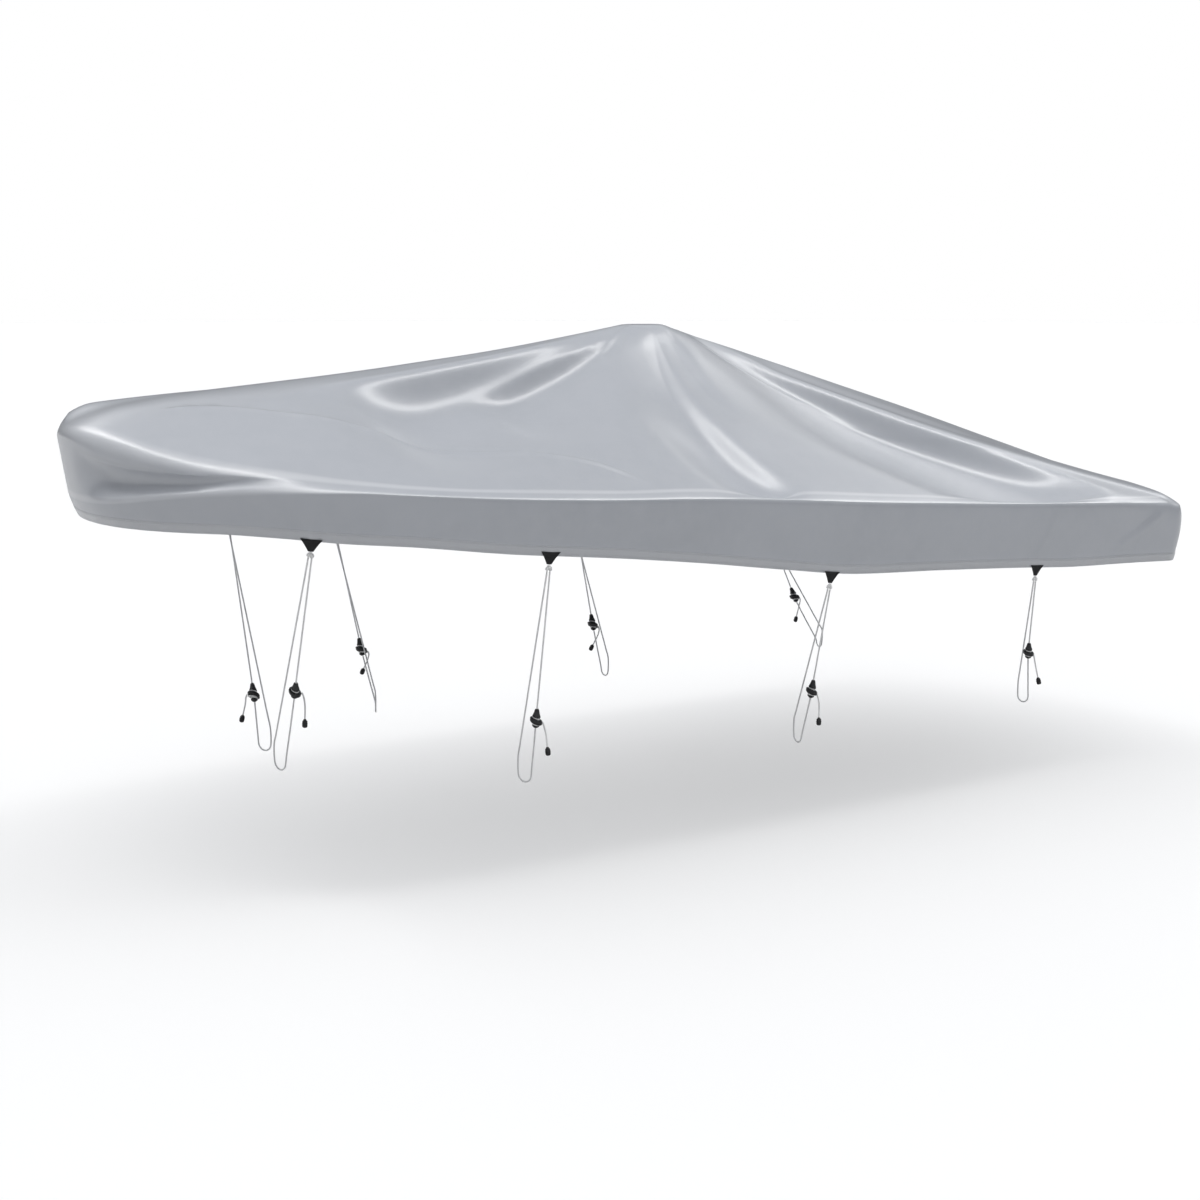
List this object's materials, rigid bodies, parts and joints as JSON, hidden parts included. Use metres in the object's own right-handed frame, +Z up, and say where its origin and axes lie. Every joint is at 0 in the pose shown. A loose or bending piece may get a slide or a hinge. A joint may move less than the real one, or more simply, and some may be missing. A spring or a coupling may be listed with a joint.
{
  "type": "fitted boat cover",
  "caption": "Fitted cloth cover for an open boat, peaked over a pole, with a hemmed skirt and rope tie-downs on webbing tabs",
  "frame": {"origin": "on the underside of the cloth, in the middle of the small flat place at the peak, where a support pole carries the cover", "axes": "+X towards the stern along the boat, -X to the bow, -Y to port, +Z up"},
  "size_m": [5.1608, 2.1088, 1.8139],
  "materials": {
    "cover_cloth": "satin coated polyester cloth, cool grey",
    "webbing": "black woven webbing",
    "rope": "white braided polyester rope",
    "tensioner": "black moulded nylon, slightly glossy",
    "end_cap": "black rubber rope end"
  },
  "bodies": {
    "root": {"cover": "cover_cloth", "tab_port_1": "webbing", "tab_port_2": "webbing", "tab_port_3": "webbing", "tab_port_4": "webbing", "tab_starboard_1": "webbing", "tab_starboard_2": "webbing", "tab_starboard_3": "webbing", "tab_starboard_4": "webbing", "knot_port_1": "rope", "knot_port_2": "rope", "knot_port_3": "rope", "knot_port_4": "rope", "knot_starboard_1": "rope", "knot_starboard_2": "rope", "knot_starboard_3": "rope", "knot_starboard_4": "rope", "hanger_port_1": "rope", "hanger_port_2": "rope", "hanger_port_3": "rope", "hanger_port_4": "rope", "hanger_starboard_1": "rope", "hanger_starboard_2": "rope", "hanger_starboard_3": "rope", "hanger_starboard_4": "rope", "loop_port_1": "rope", "loop_port_2": "rope", "loop_port_3": "rope", "loop_port_4": "rope", "loop_starboard_1": "rope", "loop_starboard_2": "rope", "loop_starboard_3": "rope", "loop_starboard_4": "rope", "tail_port_1": "rope", "tail_port_2": "rope", "tail_port_3": "rope", "tail_port_4": "rope", "tail_starboard_1": "rope", "tail_starboard_2": "rope", "tail_starboard_3": "rope", "tail_starboard_4": "rope", "tensioner_port_1": "tensioner", "tensioner_port_2": "tensioner", "tensioner_port_3": "tensioner", "tensioner_port_4": "tensioner", "tensioner_starboard_1": "tensioner", "tensioner_starboard_2": "tensioner", "tensioner_starboard_3": "tensioner", "tensioner_starboard_4": "tensioner", "end_cap_port_1": "end_cap", "end_cap_port_2": "end_cap", "end_cap_port_3": "end_cap", "end_cap_port_4": "end_cap", "end_cap_starboard_1": "end_cap", "end_cap_starboard_2": "end_cap", "end_cap_starboard_3": "end_cap", "end_cap_starboard_4": "end_cap"}
  },
  "joints": []
}
